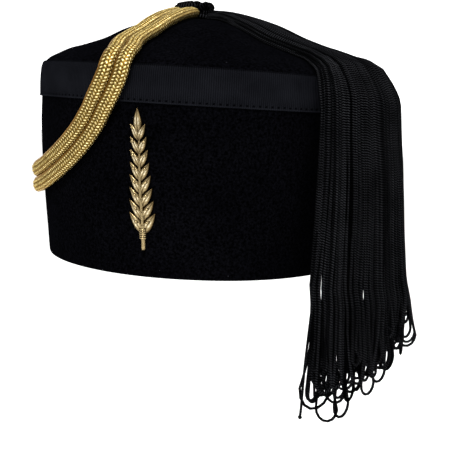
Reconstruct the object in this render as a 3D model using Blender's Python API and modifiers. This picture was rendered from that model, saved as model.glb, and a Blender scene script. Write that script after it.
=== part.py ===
"""A brimless black felt hat with a ribbon band, a gold swag, a side tassel and a gilt badge.

Sizes are in millimetres here, and MM turns them into Blender's metres. +Z is up, the front is -Y and
the wearer's left is +X. The origin is the middle of the rim's plane, where a head goes in.

A place on the felt is given as (up, azimuth): up is the distance up the outer face from the rim, and
azimuth is in degrees from the front, positive towards the wearer's left.
"""

import bisect
import math

import bmesh
import bpy
from mathutils import Matrix, Vector

MM = 0.001
GAP = 0.3  # between pieces that touch on the real hat

# ---- felt body -------------------------------------------------------------------------------
FELT_WALL = 2.0
SEGMENTS = 60
CROWN_SECTIONS = (
    # height, half_width, half_length, centre_x: the dome's peak leans to the wearer's right
    (0.0, 87.0, 100.0, 0.0),
    (20.0, 89.6, 101.6, 0.0),
    (45.0, 92.6, 103.3, 0.0),
    (70.0, 94.8, 104.5, 0.0),
    (90.0, 95.5, 104.8, 0.0),
    (104.0, 95.3, 104.6, 0.0),
    (108.2, 94.2, 103.4, 0.0),
    (111.0, 91.6, 100.8, -0.2),
    (113.4, 87.2, 96.4, -0.6),
    (116.6, 80.5, 89.0, -1.2),
    (119.5, 71.0, 79.0, -2.2),
    (124.5, 58.0, 64.6, -3.6),
    (131.0, 45.0, 50.2, -5.0),
    (135.6, 31.0, 34.6, -6.4),
    (138.7, 15.5, 17.3, -7.4),
    (139.6, 0.0, 0.0, -8.0),
)
STEPS_PER_SECTION = 12

# ---- ribbon band -----------------------------------------------------------------------------
BAND_LOW = 89.5
BAND_HIGH = 109.0
BAND_ROWS = 3
BAND_THICK = 0.9

# ---- gold swag: two cords side by side --------------------------------------------------------
CORD_HALF_WIDTH = 4.3
CORD_HALF_THICK = 3.0
CORD_SIDES = 12
CORD_PITCH = 9.0  # between the two cords' middles
CORD_BAND_RUN = 9.0  # over which a cord climbs onto the band
SWAG_LOWEST_AZIMUTH = -95.0
SWAG_FRONT = (
    # azimuth, up: from the knot to the lowest place, and the back half mirrors it
    (-33.0, 203.0),
    (-20.0, 197.8),
    (-13.5, 190.5),
    (-11.0, 180.8),
    (-10.0, 169.8),
    (-11.0, 157.0),
    (-11.6, 146.0),
    (-11.2, 134.0),
    (-9.6, 123.0),
    (-7.8, 113.5),
    (-8.3, 105.0),
    (-10.2, 97.0),
    (-12.7, 89.0),
    (-16.3, 79.5),
    (-20.7, 70.5),
    (-26.8, 61.8),
    (-34.8, 53.9),
    (-44.8, 47.4),
    (-59.0, 43.2),
    (-76.5, 41.2),
    (SWAG_LOWEST_AZIMUTH, 40.6),
)
STEPS_PER_ROUTE_ROW = 2

# ---- top knot --------------------------------------------------------------------------------
KNOT_RADIUS = 8.0
KNOT_HALF_HEIGHT = 5.0

# ---- tassel: the outer form of its bunch of cords ---------------------------------------------
TASSEL_COLUMNS = 9
TASSEL_SECTIONS = (
    # up, near_azimuth, far_azimuth, lift, thick: below the rim, up is the drop
    (204.9, 66.0, 114.0, 0.7, 5.8),
    (196.0, 60.0, 122.0, 0.8, 6.6),
    (185.0, 52.0, 126.0, 0.8, 6.6),
    (171.0, 49.0, 121.0, 0.8, 6.6),
    (153.0, 54.0, 116.0, 0.8, 7.4),
    (138.0, 61.0, 110.0, 0.8, 7.6),
    (125.0, 60.0, 105.0, 0.9, 7.6),
    (117.0, 58.0, 102.0, 1.6, 7.4),
    (111.0, 55.5, 100.0, 2.2, 9.0),
    (106.0, 54.5, 99.5, 2.1, 12.8),
    (102.0, 54.0, 99.2, 2.0, 16.4),
    (98.0, 54.0, 99.0, 2.0, 18.4),
    (90.0, 54.0, 98.5, 2.1, 20.4),
    (80.0, 54.0, 98.0, 2.2, 21.5),
    (55.0, 54.0, 98.0, 3.0, 26.0),
    (25.0, 53.7, 98.0, 6.0, 29.0),
    (0.0, 53.0, 98.0, 9.0, 32.0),
    (-20.0, 52.2, 98.0, 9.5, 36.0),
    (-45.0, 51.5, 97.0, 10.0, 36.0),
    (-62.0, 51.5, 93.0, 10.0, 28.0),
    (-73.0, 51.5, 87.0, 10.0, 19.0),
    (-79.0, 53.0, 80.0, 11.0, 11.0),
)

# ---- badge: a leafy spray, cut from plate ------------------------------------------------------
BADGE_LOW = 15.0
BADGE_HIGH = 87.0
BADGE_AZIMUTH = 1.0
BADGE_SLANT = 0.076  # its foot stands to the wearer's left, by this share of its height
BADGE_THICK = 1.6
STEM_HALF_WIDTH = 0.9
STEM_FOOT = 9.0  # of bare stem, below the first leaf
LEAF_PAIRS = 8
LEAF_PITCH = 6.8
LEAF_TAPER = 0.04  # each pair is this much narrower than the first
LEAF_EDGE = (
    # across, along from the leaf's foot: its belly, its tip and the notch above it
    (6.0, 5.6),
    (6.9, 11.5),
    (3.9, 9.0),
)
TOP_LEAF_HALF_WIDTH = 2.4
TOP_LEAF_LONG = 4.0

MATERIALS = {
    # name: colour (linear), roughness, metallic
    "felt_black": ((0.0030, 0.0031, 0.0036, 1.0), 0.95, 0.0),
    "ribbon_black": ((0.0060, 0.0062, 0.0080, 1.0), 0.60, 0.0),
    "gold_braid": ((0.4200, 0.2700, 0.0700, 1.0), 0.42, 0.8),
    "tassel_black": ((0.0045, 0.0047, 0.0055, 1.0), 0.50, 0.0),
    "gilt_metal": ((0.5200, 0.3700, 0.1500, 1.0), 0.30, 1.0),
}


def clear_scene():
    for obj in list(bpy.data.objects):
        bpy.data.objects.remove(obj, do_unlink=True)


def make_collection(name):
    collection = bpy.data.collections.new(name)
    bpy.context.scene.collection.children.link(collection)
    return collection


def make_material(name):
    colour, roughness, metallic = MATERIALS[name]
    material = bpy.data.materials.new(name)
    material.use_nodes = True
    shader = material.node_tree.nodes["Principled BSDF"]
    shader.inputs["Base Color"].default_value = colour
    shader.inputs["Roughness"].default_value = roughness
    shader.inputs["Metallic"].default_value = metallic
    material.diffuse_color = colour
    return material


def smooth_row(rows, position):
    """The row at a fractional place in a table, on a Catmull-Rom curve through its rows."""
    start = min(int(position), len(rows) - 2)
    t = position - start
    before = rows[max(start - 1, 0)]
    after = rows[min(start + 2, len(rows) - 1)]
    out = []
    for a, b, c, d in zip(before, rows[start], rows[start + 1], after):
        rise = t * (c - a) + t * t * (2 * a - 5 * b + 4 * c - d)
        out.append(b + 0.5 * (rise + t * t * t * (3 * b - a - 3 * c + d)))
    return out


def measure_profile():
    """Rows of (up, height, half_width, half_length, centre_x), close together, from rim to peak."""
    rows = []
    up = 0.0
    count = (len(CROWN_SECTIONS) - 1) * STEPS_PER_SECTION
    for step in range(count + 1):
        height, wide, long, centre = smooth_row(CROWN_SECTIONS, step / STEPS_PER_SECTION)
        if rows:
            _, old_height, old_wide, old_long, _ = rows[-1]
            inward = 0.5 * (wide + long - old_wide - old_long)
            up += math.hypot(height - old_height, inward)
        rows.append((up, height, wide, long, centre))
    return rows


PROFILE = measure_profile()
PROFILE_UPS = [row[0] for row in PROFILE]
PEAK_UP = PROFILE_UPS[-1]


def section_at(up):
    """(height, half_width, half_length, centre_x) of the felt; below the rim it goes straight down."""
    if up <= 0.0:
        _, height, wide, long, centre = PROFILE[0]
        return height + up, wide, long, centre
    i = min(max(bisect.bisect_right(PROFILE_UPS, up), 1), len(PROFILE) - 1)
    low, high = PROFILE[i - 1], PROFILE[i]
    t = (min(up, PEAK_UP) - low[0]) / (high[0] - low[0])
    return tuple(a + t * (b - a) for a, b in zip(low[1:], high[1:]))


def on_felt(up, azimuth, lift=0.0):
    """A point of the felt's outer face, or one that stands off it by lift."""
    height, wide, long, centre = section_at(up)
    angle = math.radians(azimuth)
    point = Vector((centre + wide * math.sin(angle), -long * math.cos(angle), height))
    if lift:
        point += lift * outward(up, azimuth)
    return point


def outward(up, azimuth):
    """The felt's unit normal, from the slopes round it and up it."""
    step = 0.5
    angle = math.radians(azimuth)
    _, wide, long, _ = section_at(up)
    around = Vector((wide * math.cos(angle), long * math.sin(angle), 0.0))
    upward = on_felt(up + step, azimuth) - on_felt(up - step, azimuth)
    return around.cross(upward).normalized()


def make_object(name, data, material, collection):
    data.materials.append(material)
    obj = bpy.data.objects.new(name, data)
    collection.objects.link(obj)
    return obj


def mesh_from(name, points, faces):
    """A mesh in metres from points in millimetres."""
    mesh = bpy.data.meshes.new(name)
    mesh.from_pydata([tuple(MM * c for c in point) for point in points], [], faces)
    mesh.update()
    return mesh


def ring_faces(rings, count):
    """Quads between closed rings of count points, wound to face outward when the rings go up."""
    faces = []
    for ring in range(rings - 1):
        for i in range(count):
            j = (i + 1) % count
            a, b = ring * count, (ring + 1) * count
            faces.append((a + i, a + j, b + j, b + i))
    return faces


def mesh_through(name, rings):
    """A closed mesh through closed rings, with flat ends."""
    count = len(rings[0])
    points = [point for ring in rings for point in ring]
    faces = ring_faces(len(rings), count)
    faces.append(tuple(range(count))[::-1])
    faces.append(tuple(len(points) - count + i for i in range(count)))
    return mesh_from(name, points, faces)


def add_wall(obj, thick, side):
    """Give an open surface its thickness: side is -1 for inward and 1 for outward."""
    wall = obj.modifiers.new("wall", "SOLIDIFY")
    wall.thickness = thick * MM
    wall.offset = side
    wall.use_even_offset = True
    wall.use_rim = True


def band_stations():
    step = (BAND_HIGH - BAND_LOW) / BAND_ROWS
    return [BAND_LOW + step * row for row in range(BAND_ROWS + 1)]


def felt_ring(up, lift=0.0):
    return [on_felt(up, 360.0 * i / SEGMENTS, lift) for i in range(SEGMENTS)]


def build_crown(material, collection):
    wall_rows = [0.0, 15.0, 30.0, 45.0, 60.0, 75.0]
    shoulder_rows = [112.0, 115.5, 119.5, 125.0, 132.0]
    dome_rows = [142.0, 152.0, 162.0, 172.0, 182.0, 191.0, 199.0, 206.0]
    stations = wall_rows + band_stations() + shoulder_rows + dome_rows
    points = [point for up in stations for point in felt_ring(up)]
    faces = ring_faces(len(stations), SEGMENTS)
    peak = len(points)
    points.append(on_felt(PEAK_UP, 0.0))
    last = peak - SEGMENTS
    for i in range(SEGMENTS):
        faces.append((last + i, last + (i + 1) % SEGMENTS, peak))
    crown = make_object("crown", mesh_from("crown", points, faces), material, collection)
    add_wall(crown, FELT_WALL, -1.0)
    return crown


def build_band(material, collection):
    stations = band_stations()
    points = [point for up in stations for point in felt_ring(up, GAP)]
    faces = ring_faces(len(stations), SEGMENTS)
    mesh = mesh_from("ribbon_band", points, faces)
    band = make_object("ribbon_band", mesh, material, collection)
    add_wall(band, BAND_THICK, 1.0)
    return band


def cord_rise(up):
    """How far a cord's middle stands off the felt: more where it lies over the band."""
    rest = CORD_HALF_THICK + GAP + 0.25
    below = (up - (BAND_LOW - CORD_BAND_RUN)) / CORD_BAND_RUN
    above = ((BAND_HIGH + CORD_BAND_RUN) - up) / CORD_BAND_RUN
    share = min(max(min(below, above), 0.0), 1.0)
    ease = share * share * (3.0 - 2.0 * share)
    return rest + ease * (GAP + BAND_THICK)


def swag_rows():
    """The swag's whole route: the front half down, and its mirror up the back."""
    back = [(2 * SWAG_LOWEST_AZIMUTH - azimuth, up) for azimuth, up in reversed(SWAG_FRONT[:-1])]
    return list(SWAG_FRONT) + back


def cord_rings(side):
    """The oval sections along one cord; side is 1 for the upper one and -1 for the lower."""
    rows = swag_rows()
    count = (len(rows) - 1) * STEPS_PER_ROUTE_ROW
    places = [smooth_row(rows, step / STEPS_PER_ROUTE_ROW) for step in range(count + 1)]
    middle = [on_felt(up, azimuth, cord_rise(up)) for azimuth, up in places]
    angles = [math.tau * corner / CORD_SIDES for corner in range(CORD_SIDES)]
    rings = []
    for i, (azimuth, up) in enumerate(places):
        along = middle[min(i + 1, count)] - middle[max(i - 1, 0)]
        away = outward(up, azimuth)
        across = away.cross(along).normalized()
        centre = middle[i] - across * side * CORD_PITCH / 2
        wide, thick = across * CORD_HALF_WIDTH, away * CORD_HALF_THICK
        rings.append([centre + wide * math.cos(angle) + thick * math.sin(angle) for angle in angles])
    return rings


def build_cord(name, side, material, collection):
    return make_object(name, mesh_through(name, cord_rings(side)), material, collection)


def build_knot(material, collection):
    mesh = bpy.data.meshes.new("top_knot")
    shape = bmesh.new()
    size = Matrix.Diagonal((KNOT_RADIUS * MM, KNOT_RADIUS * MM, KNOT_HALF_HEIGHT * MM, 1.0))
    bmesh.ops.create_uvsphere(shape, u_segments=28, v_segments=14, radius=1.0, matrix=size)
    shape.to_mesh(mesh)
    shape.free()
    knot = make_object("top_knot", mesh, material, collection)
    knot.location = on_felt(PEAK_UP, 0.0) * MM
    knot.location.z += (KNOT_HALF_HEIGHT + GAP) * MM
    return knot


def tassel_ring(up, near, far, lift, thick):
    """One closed section: along the outer face from near to far, and back along the inner face."""
    outer = []
    inner = []
    for column in range(TASSEL_COLUMNS + 1):
        share = column / TASSEL_COLUMNS
        azimuth = near + share * (far - near)
        bulge = math.sqrt(max(1.0 - abs(2.0 * share - 1.0) ** 3, 0.0))
        outer.append(on_felt(up, azimuth, lift + thick * (0.45 + 0.55 * bulge)))
        inner.append(on_felt(up, azimuth, lift + thick * 0.30 * (1.0 - bulge)))
    return outer + inner[::-1]


def build_tassel(material, collection):
    rings = [tassel_ring(*row) for row in reversed(TASSEL_SECTIONS)]
    return make_object("tassel", mesh_through("tassel", rings), material, collection)


def spray_outline():
    """The badge's outline: up the right side leaf by leaf, over the top leaf and down the left."""
    height = BADGE_HIGH - BADGE_LOW
    right = [(STEM_HALF_WIDTH, 0.0), (STEM_HALF_WIDTH, STEM_FOOT)]
    for pair in range(LEAF_PAIRS):
        narrow = 1.0 - LEAF_TAPER * pair
        foot = STEM_FOOT + LEAF_PITCH * pair
        right += [(narrow * across, foot + along) for across, along in LEAF_EDGE]
    right.append((TOP_LEAF_HALF_WIDTH, height - TOP_LEAF_LONG))
    left = [(-across, along) for across, along in reversed(right)]
    upright = right + [(0.0, height)] + left
    return [(across + BADGE_SLANT * (height / 2 - along), along) for across, along in upright]


def build_badge(material, collection):
    """A flat plate that leans with the wall and stands one gap off its fullest place."""
    foot = on_felt(BADGE_LOW, BADGE_AZIMUTH)
    rise = on_felt(BADGE_HIGH, BADGE_AZIMUTH) - foot
    lean = math.atan2(-rise.y, rise.z)
    away = Vector((0.0, -math.cos(lean), -math.sin(lean)))
    steps = [BADGE_LOW + i * (BADGE_HIGH - BADGE_LOW) / 12 for i in range(13)]
    fullest = max((on_felt(up, BADGE_AZIMUTH) - foot).dot(away) for up in steps)
    outline = spray_outline()
    count = len(outline)
    points = [Vector((x, 0.0, z)) for x, z in outline]
    points += [Vector((x, -BADGE_THICK, z)) for x, z in outline]
    faces = [tuple(range(count))[::-1], tuple(range(count, 2 * count))]
    for i in range(count):
        j = (i + 1) % count
        faces.append((i, j, count + j, count + i))
    badge = make_object("leaf_badge", mesh_from("leaf_badge", points, faces), material, collection)
    badge.location = (foot + away * (fullest + GAP)) * MM
    badge.rotation_euler = (lean, 0.0, 0.0)
    return badge


def build():
    clear_scene()
    collection = make_collection("fez_hat")
    materials = {name: make_material(name) for name in MATERIALS}
    build_crown(materials["felt_black"], collection)
    build_band(materials["ribbon_black"], collection)
    build_cord("gold_cord_upper", 1.0, materials["gold_braid"], collection)
    build_cord("gold_cord_lower", -1.0, materials["gold_braid"], collection)
    build_knot(materials["tassel_black"], collection)
    build_tassel(materials["tassel_black"], collection)
    build_badge(materials["gilt_metal"], collection)


build()
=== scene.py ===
"""The looks of a brimless black felt hat with a ribbon band, a gold swag, a side tassel and a gilt badge.

Sizes are in millimetres, and MM turns them into Blender's metres. The frame has +Z
up, the front is -Y, the wearer's left is +X, and the origin is the middle of the rim's plane.

A place on the felt is (up, azimuth): the distance up the outer face from the rim, and degrees from
the front, positive towards the wearer's left. The functions of the felt take arrays of such places.
"""

import math
import random

import bpy
import numpy as np
from mathutils import Matrix, Vector, noise


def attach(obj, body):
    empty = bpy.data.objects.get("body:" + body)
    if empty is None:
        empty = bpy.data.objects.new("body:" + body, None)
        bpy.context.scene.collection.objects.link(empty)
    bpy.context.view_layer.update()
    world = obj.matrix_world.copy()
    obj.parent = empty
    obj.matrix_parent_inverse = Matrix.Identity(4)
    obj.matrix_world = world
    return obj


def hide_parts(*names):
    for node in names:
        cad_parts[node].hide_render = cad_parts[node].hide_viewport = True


MM = 0.001
TINY = 1e-9  # keeps a division away from nought
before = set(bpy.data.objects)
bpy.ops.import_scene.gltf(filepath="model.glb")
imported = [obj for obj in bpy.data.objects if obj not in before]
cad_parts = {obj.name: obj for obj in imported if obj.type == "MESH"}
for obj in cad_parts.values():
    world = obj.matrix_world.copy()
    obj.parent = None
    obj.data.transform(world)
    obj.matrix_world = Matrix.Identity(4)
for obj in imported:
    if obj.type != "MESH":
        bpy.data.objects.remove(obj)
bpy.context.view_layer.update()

# ---- the felt's form, the same as its solid's
FELT_WALL = 2.0
GAP = 0.3
CROWN_SECTIONS = (
    # height, half_width, half_length, centre_x
    (0.0, 87.0, 100.0, 0.0),
    (20.0, 89.6, 101.6, 0.0),
    (45.0, 92.6, 103.3, 0.0),
    (70.0, 94.8, 104.5, 0.0),
    (90.0, 95.5, 104.8, 0.0),
    (104.0, 95.3, 104.6, 0.0),
    (108.2, 94.2, 103.4, 0.0),
    (111.0, 91.6, 100.8, -0.2),
    (113.4, 87.2, 96.4, -0.6),
    (116.6, 80.5, 89.0, -1.2),
    (119.5, 71.0, 79.0, -2.2),
    (124.5, 58.0, 64.6, -3.6),
    (131.0, 45.0, 50.2, -5.0),
    (135.6, 31.0, 34.6, -6.4),
    (138.7, 15.5, 17.3, -7.4),
    (139.6, 0.0, 0.0, -8.0),
)
STEPS_PER_SECTION = 12
BAND_LOW = 89.5
BAND_HIGH = 109.0
BAND_THICK = 0.9

# ---- the gold swag: its route is the same as its solids'
CORD_HALF_THICK = 3.0
CORD_PITCH = 9.0
CORD_BAND_RUN = 9.0  # over this much beside the band a cord rises on to it
CORD_CLEAR = 0.25  # more room under a cord, beyond the gap
SWAG_LOWEST_AZIMUTH = -95.0
SWAG_FRONT = (
    # azimuth, up
    (-33.0, 203.0),
    (-20.0, 197.8),
    (-13.5, 190.5),
    (-11.0, 180.8),
    (-10.0, 169.8),
    (-11.0, 157.0),
    (-11.6, 146.0),
    (-11.2, 134.0),
    (-9.6, 123.0),
    (-7.8, 113.5),
    (-8.3, 105.0),
    (-10.2, 97.0),
    (-12.7, 89.0),
    (-16.3, 79.5),
    (-20.7, 70.5),
    (-26.8, 61.8),
    (-34.8, 53.9),
    (-44.8, 47.4),
    (-59.0, 43.2),
    (-76.5, 41.2),
    (SWAG_LOWEST_AZIMUTH, 40.6),
)
SWAG_BACK = tuple((2 * SWAG_LOWEST_AZIMUTH - azimuth, up) for azimuth, up in SWAG_FRONT[-2::-1])
BEAD_COLUMNS = 12  # rows of stitches that run along a cord
BEAD_PITCH = 1.8  # from one stitch to the next along a row
BEAD_LEAN = 0.55  # how far a stitch slants over its own width, in pitches
BEAD_DEPTH = 0.6
BEAD_POINT = 1.15  # how small and round the top of each stitch is
BEAD_NARROW = 1.85  # 2 would bring a stitch down to nothing at the edges of its row
BEAD_LOW = 0.22  # height between two stitches of a row
BRAIDED = (-0.62, -0.54)  # shares of the half width where the smooth upper side turns into stitches
SMOOTH_HEIGHT = 0.30
PLAIT_HALF_WIDTH = 4.45
PLAIT_UNDER = 3.5  # the braid reaches down to the felt
CORD_SIDES = 48
CORD_STEP = 0.36
ROUTE_POINTS = 12  # for each row of the route
PATH_STEP = 16.0

# ---- the tassel: its strands fill the outer form of its solid
TASSEL_SECTIONS = (
    # up, near_azimuth, far_azimuth, lift, thick
    (204.9, 66.0, 114.0, 0.7, 5.8),
    (196.0, 60.0, 122.0, 0.8, 6.6),
    (185.0, 52.0, 126.0, 0.8, 6.6),
    (171.0, 49.0, 121.0, 0.8, 6.6),
    (153.0, 54.0, 116.0, 0.8, 7.4),
    (138.0, 61.0, 110.0, 0.8, 7.6),
    (125.0, 60.0, 105.0, 0.9, 7.6),
    (117.0, 58.0, 102.0, 1.6, 7.4),
    (111.0, 55.5, 100.0, 2.2, 9.0),
    (106.0, 54.5, 99.5, 2.1, 12.8),
    (102.0, 54.0, 99.2, 2.0, 16.4),
    (98.0, 54.0, 99.0, 2.0, 18.4),
    (90.0, 54.0, 98.5, 2.1, 20.4),
    (80.0, 54.0, 98.0, 2.2, 21.5),
    (55.0, 54.0, 98.0, 3.0, 26.0),
    (25.0, 53.7, 98.0, 6.0, 29.0),
    (0.0, 53.0, 98.0, 9.0, 32.0),
    (-20.0, 52.2, 98.0, 9.5, 36.0),
    (-45.0, 51.5, 97.0, 10.0, 36.0),
)
TASSEL_END = -79.0
TASSEL_LAYERS = (
    # piece, depth into the bunch (0 at its face, 1 next to the felt), loops
    ("tassel_outer", 0.00, 29),
    ("tassel_outer", 0.11, 28),
    ("tassel_outer", 0.24, 27),
    ("tassel_inner", 0.40, 24),
    ("tassel_inner", 0.62, 22),
    ("tassel_inner", 0.90, 18),
)
STRAY_LOOPS = (
    # share from near to far, depth, mm open to each side, degrees that the opening is turned from
    # along the wall, mm aside (minus is near), mm outward, drop
    (0.60, 0.0, 4.2, 80.0, 0.0, 7.2, -30.0),
    (0.64, 0.0, 3.4, 75.0, 0.0, 6.2, -29.5),
    (0.70, 0.0, 2.4, 60.0, 0.0, 3.0, -29.0),
    (0.56, 0.0, 2.8, 30.0, 0.0, 1.5, -31.5),
    (0.42, 0.0, 3.4, 20.0, 0.0, 1.0, -39.5),
    (0.33, 0.0, 3.0, 20.0, 0.0, 1.0, -45.0),
    (0.02, 0.3, 7.0, 0.0, -3.0, 0.5, -53.0),
    (0.05, 0.6, 1.8, 0.0, -4.0, 0.0, -58.0),
    (0.03, 0.1, 1.5, 0.0, -3.0, 1.0, -50.0),
    (0.12, 0.2, 3.4, 0.0, 0.0, 0.0, -63.0),
)
BARE_END = (0.02, 0.2, -16.0, -67.0)  # share, depth, mm aside and drop of the one cut strand
BARE_KNOT = 1.0  # half the height of the knot in its end
HANG_UP = -40.0  # under this the bunch keeps the section that it has here
NEAR_DRAW = 4.5  # degrees that its near edge draws in...
NEAR_DRAWN = -65.0  # ...from the rim down to here
# azimuth, rise of the bunch's end for each mm away from the wall
END_SLOPES = ((50.0, 0.25), (60.0, 0.62), (70.0, 1.02), (80.0, 1.22), (100.0, 1.32))
STRAND_RADIUS = 0.78
STRAND_STEP = 4.5  # from one point of a route to the next
STRAND_SIDES = 6
STRAND_TWIST = 1.35  # from one ply to the next along a strand
STRAND_TURN = 0.618  # how far round one strand's plies start from the last one's, in turns
TASSEL_SEED = 11

# ---- the badge, a leafy spray
BADGE_LOW = 15.0
BADGE_HIGH = 87.0
BADGE_AZIMUTH = 1.0
BADGE_SLANT = 0.076  # its foot stands to the wearer's left, by this share of its height
LEAF_PAIRS = 8
LEAF_PITCH = 6.8
LEAF_TAPER = 0.04
LEAF_LONG = 13.2
LEAF_HALF_WIDTH = 2.7
LEAF_ANGLE = 32.0
STEM_FOOT = 9.0

# ---- the camera, fitted to the rim's and the band's edges in the photo
CAMERA_AZIMUTH = 18.4
CAMERA_DISTANCE = 600.0
CAMERA_HEIGHT = 95.0
CAMERA_FOCAL_PX = 990.0
CAMERA_DOWN = 7.4
CAMERA_ROLL = 3.45
CAMERA_RIGHT = 1.45
CAMERA_SENSOR = 36.0
PHOTO_PX = 450.0
FLOOR_DROP = 150.0  # the floor lies this far under the tassel
FLOOR_REACH = 6000.0
LIGHTS = (
    # name, place in metres, side in metres, watts
    ("key", (0.05, -1.2, 1.0), 0.45, 30.0),
    ("fill", (1.1, -0.8, 0.55), 0.7, 5.0),
    ("top", (0.1, 0.1, 1.25), 0.7, 14.0),
)
LIGHTS_TARGET = (0.0, 0.0, 0.06)
STUDIO_TONES = ((0.25, 1.0), (0.55, 0.55))  # upward part of the direction, brightness
STUDIO_STRENGTH = 1.7


# ==== numbers
def share_of(value, start, end):
    """How far each value is on its way from start to end, from 0 to 1."""
    return np.clip((value - start) / (end - start), 0.0, 1.0)


def eased(share):
    """A share from 0 to 1 that starts and ends gently."""
    return share * share * (3.0 - 2.0 * share)


def within(share):
    """One number, held between 0 and 1."""
    return min(max(share, 0.0), 1.0)


def round_steps(count, full=2 * math.pi):
    """Equal steps round a full turn, without its end."""
    return np.arange(count) * full / count


# ==== the felt's surface
def smooth_rows(rows, positions):
    """Rows at fractional places in a table, on a smooth curve that goes through its rows."""
    rows = np.array(rows, float)
    start = np.minimum(positions.astype(int), len(rows) - 2)
    t = (positions - start)[:, None]
    a = rows[np.maximum(start - 1, 0)]
    b = rows[start]
    c = rows[start + 1]
    d = rows[np.minimum(start + 2, len(rows) - 1)]
    rise = t * (c - a) + t**2 * (2 * a - 5 * b + 4 * c - d) + t**3 * (3 * b - a - 3 * c + d)
    return b + 0.5 * rise


def measure_profile():
    """Columns of (up, height, half_width, half_length, centre_x), close together, rim to peak."""
    count = (len(CROWN_SECTIONS) - 1) * STEPS_PER_SECTION
    rows = smooth_rows(CROWN_SECTIONS, np.arange(count + 1) / STEPS_PER_SECTION)
    rise = np.diff(rows[:, 0])
    inward = 0.5 * (np.diff(rows[:, 1]) + np.diff(rows[:, 2]))
    up = np.concatenate([[0.0], np.cumsum(np.hypot(rise, inward))])
    return np.column_stack([up, rows])


PROFILE = measure_profile()
PEAK_UP = float(PROFILE[-1, 0])


def section_at(up):
    """Heights, half widths, half lengths and centres; below the rim they go straight down."""
    height, wide, long, centre = (np.interp(up, PROFILE[:, 0], PROFILE[:, k]) for k in (1, 2, 3, 4))
    return height + np.minimum(up, 0.0), wide, long, centre


def felt_points(up, azimuth):
    """Points on the felt's outer face."""
    height, wide, long, centre = section_at(up)
    angle = np.radians(azimuth)
    return np.stack([centre + wide * np.sin(angle), -long * np.cos(angle), height], axis=-1)


def felt_normals(up, azimuth):
    """Unit vectors straight out of the felt's outer face."""
    step = 0.5  # mm up and down the face
    angle = np.radians(azimuth)
    _, wide, long, _ = section_at(up)
    around = np.stack([wide * np.cos(angle), long * np.sin(angle), np.zeros_like(wide)], axis=-1)
    upward = felt_points(up + step, azimuth) - felt_points(up - step, azimuth)
    normal = np.cross(around, upward)
    return normal / np.maximum(np.linalg.norm(normal, axis=-1, keepdims=True), TINY)


def on_felt(up, azimuth, lift=0.0):
    """Points at a lift off the felt's outer face, in millimetres."""
    up, azimuth, lift = np.broadcast_arrays(*(np.asarray(v, float) for v in (up, azimuth, lift)))
    return felt_points(up, azimuth) + lift[..., None] * felt_normals(up, azimuth)


# ==== meshes
def mesh_piece(name, node, slot, points, faces, uvs=None, relief=None):
    """The piece that stands for a node, from points in millimetres; uvs are one pair for each face
    corner."""
    mesh = bpy.data.meshes.new(name)
    mesh.from_pydata((np.asarray(points, float) * MM).tolist(), [], faces)
    if uvs is not None:
        layer = mesh.uv_layers.new(name="run")
        layer.data.foreach_set("uv", np.asarray(uvs, np.float32).ravel())
    if relief is not None:
        layer = mesh.attributes.new("relief", "FLOAT", "POINT")
        layer.data.foreach_set("value", np.asarray(relief, np.float32))
    mesh.shade_smooth()
    mesh.materials.append(MATERIALS[slot])
    piece = bpy.data.objects.new(name, mesh)
    bpy.context.scene.collection.objects.link(piece)
    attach(piece, "root")
    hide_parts(node)
    return piece


def grid_faces(rows, columns, closed):
    """Quads of a grid of points, row by row; closed joins the last column to the first."""
    faces = []
    for r in range(rows - 1):
        low, high = r * columns, (r + 1) * columns
        for c in range(columns if closed else columns - 1):
            d = (c + 1) % columns
            faces.append((low + c, low + d, high + d, high + c))
    return faces


def capped_faces(rows, columns):
    """Quads between closed rings of points, and a flat face over each end."""
    faces = grid_faces(rows, columns, True)
    faces.append(tuple(range(columns))[::-1])
    faces.append(tuple((rows - 1) * columns + c for c in range(columns)))
    return faces


def tube_frames(route):
    """Unit vectors across a route, carried along it without twist."""
    along = np.gradient(route, axis=0)
    along /= np.maximum(np.linalg.norm(along, axis=1, keepdims=True), TINY)
    side = np.zeros_like(route)
    seed = np.cross(along[0], (0.0, 0.0, 1.0))
    upright = np.linalg.norm(seed) < 0.1
    if upright:
        seed = np.cross(along[0], (0.0, 1.0, 0.0))
    for i, direction in enumerate(along):
        seed = seed - direction * float(seed @ direction)
        seed /= max(float(np.linalg.norm(seed)), TINY)
        side[i] = seed
    return side, np.cross(along, side)


class Tubes:
    """Many closed tubes gathered into one mesh. A corner's first run coordinate is its share of the
    way round plus the tube's number, and its second is millimetres along the tube."""

    def __init__(self, sides):
        self.sides = sides
        self.points = []
        self.faces = []
        self.uvs = []
        self.count = 0

    def add(self, route, radius):
        """A tube along a route; its radius is one number, or one for each point."""
        route = np.asarray(route, float)
        radius = np.broadcast_to(np.asarray(radius, float), len(route))
        across, over = tube_frames(route)
        angles = round_steps(self.sides)[:, None]
        ring = across[:, None] * np.cos(angles) + over[:, None] * np.sin(angles)
        self.points.append((route[:, None] + ring * radius[:, None, None]).reshape(-1, 3))
        steps = np.linalg.norm(np.diff(route, axis=0), axis=1)
        v = np.concatenate([[0.0], np.cumsum(steps)])
        base = self.count
        number = len(self.points)
        for r in range(len(route) - 1):
            low, high = v[r], v[r + 1]
            for s in range(self.sides):
                n = (s + 1) % self.sides
                a, b = base + r * self.sides, base + (r + 1) * self.sides
                self.faces.append((a + s, a + n, b + n, b + s))
                left, right = number + s / self.sides, number + (s + 1) / self.sides
                self.uvs += [(left, low), (right, low), (right, high), (left, high)]
        for ring_at, flip in ((0, True), (len(route) - 1, False)):
            cap = [base + ring_at * self.sides + s for s in range(self.sides)]
            self.faces.append(tuple(cap[::-1] if flip else cap))
            self.uvs += [(number + 0.5, v[ring_at])] * self.sides
        self.count += len(route) * self.sides

    def piece(self, name, node, slot):
        return mesh_piece(name, node, slot, np.concatenate(self.points), self.faces, self.uvs)


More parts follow.
